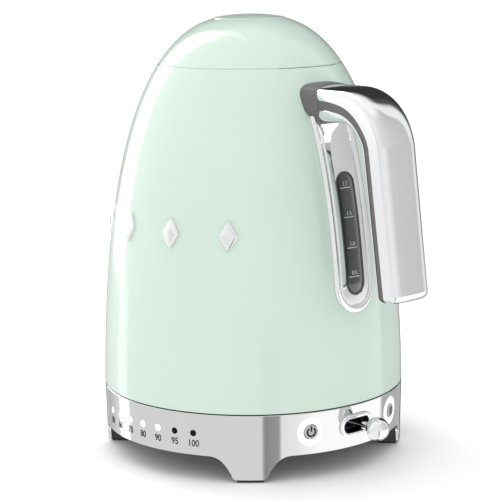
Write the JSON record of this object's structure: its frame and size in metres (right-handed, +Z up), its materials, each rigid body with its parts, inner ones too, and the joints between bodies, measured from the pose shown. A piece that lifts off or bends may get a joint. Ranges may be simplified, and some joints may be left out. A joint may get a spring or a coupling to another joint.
{
  "type": "electric kettle",
  "caption": "Domed steel jug kettle with hinged lid, side gauge and curved handle, lifting off a round footed base with temperature lights, push buttons and a ball lever.",
  "frame": {"origin": "on the base's vertical axis, in the plane of its feet", "axes": "+Z up; +X towards the handle and the controls; -X towards the spout; -Y the side of the temperature lights"},
  "size_m": [0.2147, 0.1708, 0.2456],
  "materials": {
    "painted_steel": "gloss enamel in pale green",
    "painted_button": "gloss enamel in pale green",
    "inner_steel": "brushed stainless steel",
    "zinc_steel": "zinc-plated steel",
    "spring_steel": "drawn wire",
    "heat_aluminium": "as rolled",
    "element_steel": "heat-darkened sheath",
    "black_plastic": "fine spark texture",
    "grey_plastic": "satin",
    "white_plastic": "satin",
    "bright_chrome": "mirror polish",
    "polished_steel": "polished stainless steel",
    "smoked_window": "smoked, glossy",
    "silicone": "translucent white silicone",
    "foot_rubber": "matte",
    "light_guide": "translucent white",
    "button_grey": "satin silver",
    "circuit_board": "solder resist"
  },
  "bodies": {
    "base": {"base_shell": "polished_steel", "base_top_plate": "black_plastic", "base_connector": "black_plastic", "base_bottom_cover": "black_plastic", "foot_pads": "foot_rubber", "light_pipes": "light_guide", "power_ring": "light_guide", "warm_ring": "light_guide", "power_spring": "spring_steel", "warm_spring": "spring_steel", "lever_bezel": "bright_chrome", "lever_pivot_pin": "spring_steel", "lever_bracket": "zinc_steel", "lever_spring": "spring_steel", "control_board": "circuit_board", "power_board": "circuit_board", "button_switches": "black_plastic", "base_screws": "zinc_steel", "cord_gland": "black_plastic"},
    "turning_ring": {"connector_shutter": "grey_plastic"},
    "jug": {"body_shell": "painted_steel", "vessel_floor": "inner_steel", "floor_brackets": "inner_steel", "heat_spreader": "heat_aluminium", "heating_element": "element_steel", "thermal_control": "black_plastic", "temperature_probe": "inner_steel", "probe_seal": "silicone", "jug_base_cover": "black_plastic", "jug_socket": "black_plastic", "jug_base_screws": "zinc_steel", "neck_ring": "white_plastic", "spout": "painted_steel", "filter_seat": "white_plastic", "handle_core": "grey_plastic", "handle_outer_shell": "bright_chrome", "handle_inner_shell": "bright_chrome", "handle_screws": "zinc_steel", "gauge_frame": "bright_chrome", "gauge_window": "smoked_window", "gauge_seal": "silicone", "badge_studs": "bright_chrome", "hinge_pin": "spring_steel", "hinge_spring": "spring_steel", "damper_housing": "black_plastic"},
    "lid": {"lid_shell": "painted_steel", "lid_liner": "white_plastic", "lid_seal": "silicone", "button_spring": "spring_steel", "latch_spring": "spring_steel", "damper_rotor": "white_plastic"},
    "lid_button": {"lid_button": "painted_button"},
    "lid_latch": {"latch_bolt": "zinc_steel"},
    "filter": {"filter_frame": "white_plastic", "filter_mesh": "inner_steel"},
    "power_button": {"power_button": "button_grey"},
    "warm_button": {"warm_button": "button_grey"},
    "lever": {"lever_arm": "bright_chrome", "lever_knob": "bright_chrome"}
  },
  "joints": [
    {"name": "jug_swivel", "type": "hinge", "parent": "base", "child": "turning_ring", "pos_m": [0, 0, 0.034], "axis": [0, 0, 1], "continuous": true},
    {"name": "jug_lift", "type": "slide", "parent": "turning_ring", "child": "jug", "axis": [0, 0, 1], "range_m": [0, 0.1]},
    {"name": "lid_open", "type": "hinge", "parent": "jug", "child": "lid", "pos_m": [0.044, 0, 0.2205], "axis": [0, 1, 0], "range_deg": [0, 72], "deforming": ["hinge_spring"]},
    {"name": "lid_button_press", "type": "slide", "parent": "lid", "child": "lid_button", "axis": [0, 0, -1], "range_m": [0, 0.003], "stiffness_N_per_m": 600, "deforming": ["button_spring"]},
    {"name": "latch_slide", "type": "slide", "parent": "lid", "child": "lid_latch", "axis": [1, 0, 0], "range_m": [0, 0.003], "deforming": ["latch_spring"]},
    {"name": "filter_release", "type": "slide", "parent": "jug", "child": "filter", "axis": [1, 0, 0], "range_m": [0, 0.009]},
    {"name": "power_press", "type": "slide", "parent": "base", "child": "power_button", "axis": [-0.9336, 0.3584, 0], "range_m": [0, 0.0012], "stiffness_N_per_m": 700, "deforming": ["power_spring"]},
    {"name": "warm_press", "type": "slide", "parent": "base", "child": "warm_button", "axis": [-0.9336, -0.3584, 0], "range_m": [0, 0.0012], "stiffness_N_per_m": 700, "deforming": ["warm_spring"]},
    {"name": "lever_swing", "type": "hinge", "parent": "base", "child": "lever", "pos_m": [0.072, 0, 0.0265], "axis": [0, 0, 1], "range_deg": [-15, 15], "stiffness_Nm_per_rad": 0.05, "deforming": ["lever_spring"]}
  ],
  "couplings": [
    {"joint": "latch_slide", "follows": "lid_button_press", "ratio": 1}
  ]
}
